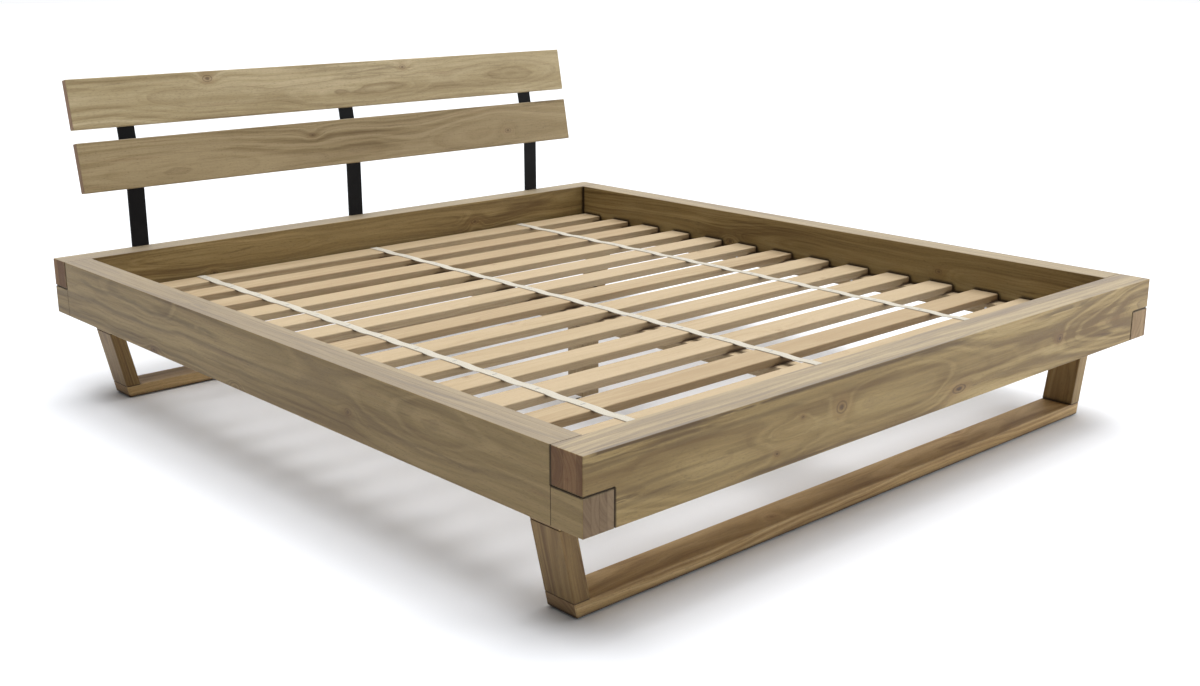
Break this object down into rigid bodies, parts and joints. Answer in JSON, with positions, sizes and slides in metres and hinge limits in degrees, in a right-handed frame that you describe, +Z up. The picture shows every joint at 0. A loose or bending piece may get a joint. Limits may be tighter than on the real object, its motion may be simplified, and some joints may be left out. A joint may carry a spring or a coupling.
{
  "type": "double bed frame",
  "caption": "Low double bed frame of heavy lapped wooden rails on two trapezoid sledge feet, with a reclined plank headboard on bent flat steel bars and a slatted base.",
  "frame": {"origin": "on the floor, at the centre of the whole object's footprint, headboard included", "axes": "+X to the right seen from the foot, +Y from the foot towards the headboard, +Z up"},
  "size_m": [1.98, 2.2394, 0.8564],
  "materials": {
    "rail_wood": "oiled, open-grained brown hardwood",
    "sledge_wood": "oiled, open-grained brown hardwood",
    "headboard_wood": "oiled, open-grained brown hardwood",
    "base_wood": "planed softwood, unfinished",
    "slat_wood": "planed softwood, unfinished",
    "black_steel": "satin black powder coat",
    "zinc_steel": "bright zinc plate",
    "yellow_zinc": "yellow zinc plate",
    "webbing": "plain woven webbing",
    "black_plastic": "moulded, fine grain"
  },
  "bodies": {
    "bed": {"beam_screws": "zinc_steel", "bracket_bolts": "black_steel", "bracket_washers": "black_steel", "centre_beam": "base_wood", "centre_leg": "base_wood", "centre_leg_insert": "yellow_zinc", "centre_leg_screw": "zinc_steel", "cleat_screws": "zinc_steel", "corner_bolts": "zinc_steel", "foot_glide_left": "black_plastic", "foot_glide_right": "black_plastic", "foot_rail": "rail_wood", "foot_sledge_leg_left": "sledge_wood", "foot_sledge_leg_right": "sledge_wood", "foot_sledge_runner": "sledge_wood", "foot_sledge_top_bar": "sledge_wood", "head_glide_left": "black_plastic", "head_glide_right": "black_plastic", "head_rail": "rail_wood", "head_sledge_leg_left": "sledge_wood", "head_sledge_leg_right": "sledge_wood", "head_sledge_runner": "sledge_wood", "head_sledge_top_bar": "sledge_wood", "headboard_bracket_centre": "black_steel", "headboard_bracket_left": "black_steel", "headboard_bracket_right": "black_steel", "headboard_plank_lower": "headboard_wood", "headboard_plank_upper": "headboard_wood", "plank_screws": "zinc_steel", "side_rail_left": "rail_wood", "side_rail_right": "rail_wood", "slat_01": "slat_wood", "slat_02": "slat_wood", "slat_03": "slat_wood", "slat_04": "slat_wood", "slat_05": "slat_wood", "slat_06": "slat_wood", "slat_07": "slat_wood", "slat_08": "slat_wood", "slat_09": "slat_wood", "slat_10": "slat_wood", "slat_11": "slat_wood", "slat_12": "slat_wood", "slat_13": "slat_wood", "slat_14": "slat_wood", "slat_cleat_left": "base_wood", "slat_cleat_right": "base_wood", "sledge_bolts": "zinc_steel", "sledge_screws": "zinc_steel", "strap_staples": "zinc_steel", "threaded_inserts": "yellow_zinc", "webbing_strap_centre": "webbing", "webbing_strap_left": "webbing", "webbing_strap_right": "webbing"},
    "centre_foot": {"centre_foot_pad": "black_plastic", "centre_foot_stud": "zinc_steel", "centre_foot_nut": "zinc_steel"}
  },
  "joints": [
    {"name": "centre_foot_screw", "type": "slide", "parent": "bed", "child": "centre_foot", "axis": [0, 0, 1], "range_m": [-0.01, 0.01]}
  ]
}
